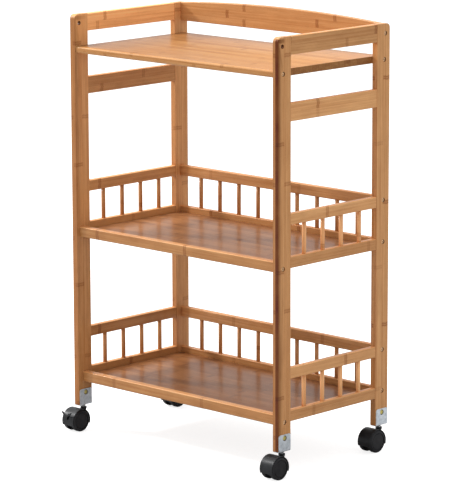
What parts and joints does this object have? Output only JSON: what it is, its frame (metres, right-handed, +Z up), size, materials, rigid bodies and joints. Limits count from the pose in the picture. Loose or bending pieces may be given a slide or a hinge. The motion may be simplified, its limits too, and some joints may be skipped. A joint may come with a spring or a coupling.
{
  "type": "rolling utility cart",
  "caption": "Open three-tier rolling storage cart with a flat top under an arched back board, spindle-sided lower baskets and small twin-wheel swivel casters.",
  "frame": {"origin": "on the floor at the centre of the whole footprint, casters trailing towards the front", "axes": "+X to the cart's right seen from the open front, +Y towards the back board, +Z up"},
  "size_m": [0.5484, 0.3288, 0.8068],
  "materials": {
    "bamboo": "satin lacquer over honey coloured laminated bamboo",
    "bamboo_top": "semi-gloss lacquer, strips laid along the cart",
    "bamboo_panel": "semi-gloss lacquer over darker strips laid along the cart",
    "bamboo_spindle": "satin lacquer, turned rod",
    "dowel_wood": "bare hardwood",
    "zinc_sheet": "satin zinc plate",
    "yellow_zinc": "yellow passivated zinc",
    "screw_steel": "dull bronze coloured plate",
    "bright_steel": "bright zinc plated steel",
    "hood_nylon": "satin moulded black nylon",
    "wheel_nylon": "satin moulded black nylon"
  },
  "bodies": {
    "frame": {"back_bottom_lower_rail": "bamboo", "back_bottom_spindles": "bamboo_spindle", "back_bottom_upper_rail": "bamboo", "back_middle_lower_rail": "bamboo", "back_middle_spindles": "bamboo_spindle", "back_middle_upper_rail": "bamboo", "back_top_board": "bamboo", "bottom_front_rail": "bamboo", "bottom_shelf": "bamboo_panel", "bracket_screws": "yellow_zinc", "frame_screws": "screw_steel", "front_left_bracket": "zinc_sheet", "front_left_post": "bamboo", "front_right_bracket": "zinc_sheet", "front_right_post": "bamboo", "joint_dowels": "dowel_wood", "left_bottom_lower_rail": "bamboo", "left_bottom_spindles": "bamboo_spindle", "left_bottom_upper_rail": "bamboo", "left_cross_rail": "bamboo", "left_middle_lower_rail": "bamboo", "left_middle_spindles": "bamboo_spindle", "left_middle_upper_rail": "bamboo", "left_top_rail": "bamboo", "middle_front_rail": "bamboo", "middle_shelf": "bamboo_panel", "rear_left_bracket": "zinc_sheet", "rear_left_post": "bamboo", "rear_right_bracket": "zinc_sheet", "rear_right_post": "bamboo", "right_bottom_lower_rail": "bamboo", "right_bottom_spindles": "bamboo_spindle", "right_bottom_upper_rail": "bamboo", "right_cross_rail": "bamboo", "right_middle_lower_rail": "bamboo", "right_middle_spindles": "bamboo_spindle", "right_middle_upper_rail": "bamboo", "right_top_rail": "bamboo", "swivel_stems": "bright_steel", "top_shelf": "bamboo_top"},
    "front_left_swivel": {"front_left_hood": "hood_nylon", "front_left_axle": "bright_steel"},
    "front_left_left_roller": {"front_left_left_wheel": "wheel_nylon"},
    "front_left_right_roller": {"front_left_right_wheel": "wheel_nylon"},
    "front_left_brake": {"front_left_brake_lever": "hood_nylon"},
    "front_right_swivel": {"front_right_hood": "hood_nylon", "front_right_axle": "bright_steel"},
    "front_right_left_roller": {"front_right_left_wheel": "wheel_nylon"},
    "front_right_right_roller": {"front_right_right_wheel": "wheel_nylon"},
    "rear_left_swivel": {"rear_left_hood": "hood_nylon", "rear_left_axle": "bright_steel"},
    "rear_left_left_roller": {"rear_left_left_wheel": "wheel_nylon"},
    "rear_left_right_roller": {"rear_left_right_wheel": "wheel_nylon"},
    "rear_left_brake": {"rear_left_brake_lever": "hood_nylon"},
    "rear_right_swivel": {"rear_right_hood": "hood_nylon", "rear_right_axle": "bright_steel"},
    "rear_right_left_roller": {"rear_right_left_wheel": "wheel_nylon"},
    "rear_right_right_roller": {"rear_right_right_wheel": "wheel_nylon"}
  },
  "joints": [
    {"name": "front_left_swivel_turn", "type": "hinge", "parent": "frame", "child": "front_left_swivel", "pos_m": [-0.25815, -0.11835, 0.04], "axis": [0, 0, 1], "continuous": true},
    {"name": "front_left_left_wheel_spin", "type": "hinge", "parent": "front_left_swivel", "child": "front_left_left_roller", "pos_m": [-0.25815, -0.13785, 0.021], "axis": [1, 0, 0], "continuous": true},
    {"name": "front_left_right_wheel_spin", "type": "hinge", "parent": "front_left_swivel", "child": "front_left_right_roller", "pos_m": [-0.25815, -0.13785, 0.021], "axis": [1, 0, 0], "continuous": true},
    {"name": "front_left_brake_press", "type": "hinge", "parent": "front_left_swivel", "child": "front_left_brake", "pos_m": [-0.25815, -0.14935, 0.03], "axis": [1, 0, 0], "range_deg": [0, 18]},
    {"name": "front_right_swivel_turn", "type": "hinge", "parent": "frame", "child": "front_right_swivel", "pos_m": [0.25815, -0.11835, 0.04], "axis": [0, 0, 1], "continuous": true},
    {"name": "front_right_left_wheel_spin", "type": "hinge", "parent": "front_right_swivel", "child": "front_right_left_roller", "pos_m": [0.25815, -0.13785, 0.021], "axis": [1, 0, 0], "continuous": true},
    {"name": "front_right_right_wheel_spin", "type": "hinge", "parent": "front_right_swivel", "child": "front_right_right_roller", "pos_m": [0.25815, -0.13785, 0.021], "axis": [1, 0, 0], "continuous": true},
    {"name": "rear_left_swivel_turn", "type": "hinge", "parent": "frame", "child": "rear_left_swivel", "pos_m": [-0.25815, 0.14735, 0.04], "axis": [0, 0, 1], "continuous": true},
    {"name": "rear_left_left_wheel_spin", "type": "hinge", "parent": "rear_left_swivel", "child": "rear_left_left_roller", "pos_m": [-0.25815, 0.12785, 0.021], "axis": [1, 0, 0], "continuous": true},
    {"name": "rear_left_right_wheel_spin", "type": "hinge", "parent": "rear_left_swivel", "child": "rear_left_right_roller", "pos_m": [-0.25815, 0.12785, 0.021], "axis": [1, 0, 0], "continuous": true},
    {"name": "rear_left_brake_press", "type": "hinge", "parent": "rear_left_swivel", "child": "rear_left_brake", "pos_m": [-0.25815, 0.11635, 0.03], "axis": [1, 0, 0], "range_deg": [0, 18]},
    {"name": "rear_right_swivel_turn", "type": "hinge", "parent": "frame", "child": "rear_right_swivel", "pos_m": [0.25815, 0.14735, 0.04], "axis": [0, 0, 1], "continuous": true},
    {"name": "rear_right_left_wheel_spin", "type": "hinge", "parent": "rear_right_swivel", "child": "rear_right_left_roller", "pos_m": [0.25815, 0.12785, 0.021], "axis": [1, 0, 0], "continuous": true},
    {"name": "rear_right_right_wheel_spin", "type": "hinge", "parent": "rear_right_swivel", "child": "rear_right_right_roller", "pos_m": [0.25815, 0.12785, 0.021], "axis": [1, 0, 0], "continuous": true}
  ]
}
